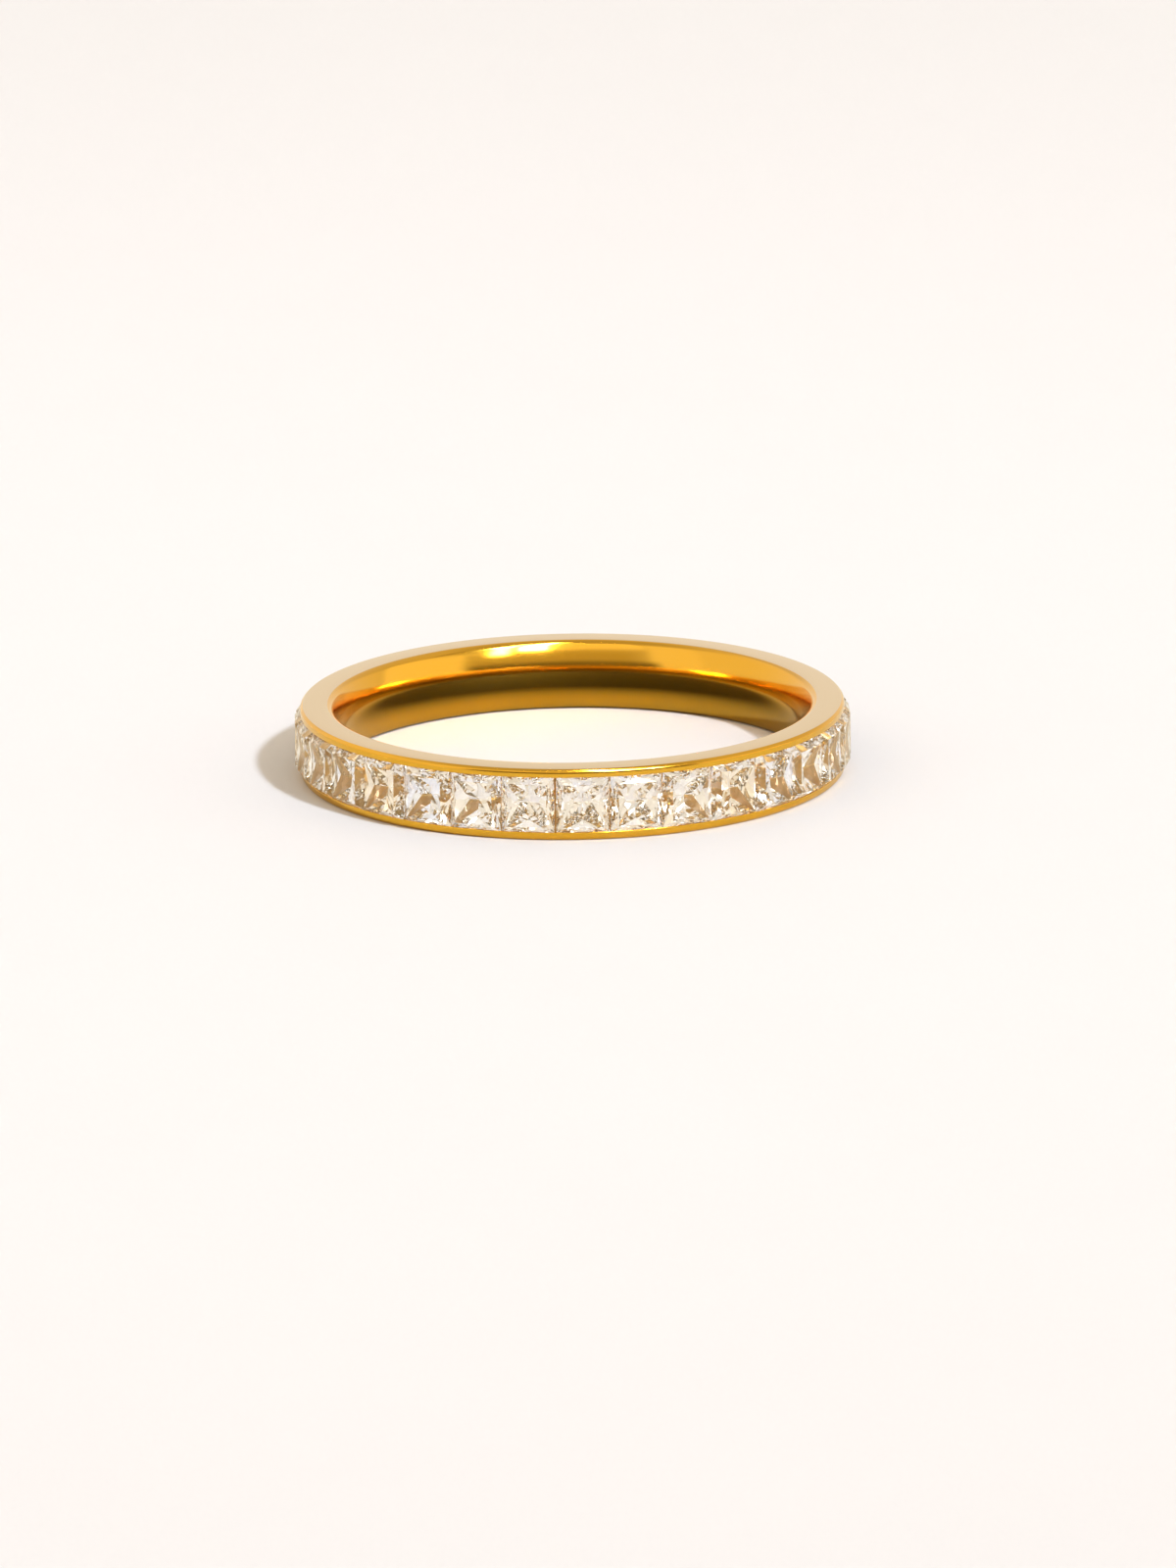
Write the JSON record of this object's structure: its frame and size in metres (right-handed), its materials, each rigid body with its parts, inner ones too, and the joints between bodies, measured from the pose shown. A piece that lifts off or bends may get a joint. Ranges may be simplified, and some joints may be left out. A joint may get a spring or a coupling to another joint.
{
  "type": "stackable channel-set stone ring",
  "caption": "Slim gold finger ring, lying flat: two polished rails hold a full row of square clear stones side by side, over a domed comfort-fit inner wall.",
  "frame": {"origin": "on the ring's axis, at the level of its lower rim, which lies on the surface", "axes": "+Z along the ring's axis, from the lower rim up to the upper rim; -Y is the front, where the joint between the first and the last stone is"},
  "size_m": [0.0208, 0.0208, 0.0027],
  "materials": {
    "polished_gold": "polished yellow gold plating on steel, mirror bright with fine wear",
    "clear_stone": "clear colourless cubic zirconia, polished facets"
  },
  "bodies": {
    "root": {"band": "polished_gold", "stone_01": "clear_stone", "stone_02": "clear_stone", "stone_03": "clear_stone", "stone_04": "clear_stone", "stone_05": "clear_stone", "stone_06": "clear_stone", "stone_07": "clear_stone", "stone_08": "clear_stone", "stone_09": "clear_stone", "stone_10": "clear_stone", "stone_11": "clear_stone", "stone_12": "clear_stone", "stone_13": "clear_stone", "stone_14": "clear_stone", "stone_15": "clear_stone", "stone_16": "clear_stone", "stone_17": "clear_stone", "stone_18": "clear_stone", "stone_19": "clear_stone", "stone_20": "clear_stone", "stone_21": "clear_stone", "stone_22": "clear_stone", "stone_23": "clear_stone", "stone_24": "clear_stone", "stone_25": "clear_stone", "stone_26": "clear_stone", "stone_27": "clear_stone", "stone_28": "clear_stone", "stone_29": "clear_stone", "stone_30": "clear_stone", "stone_31": "clear_stone", "stone_32": "clear_stone"}
  },
  "joints": []
}
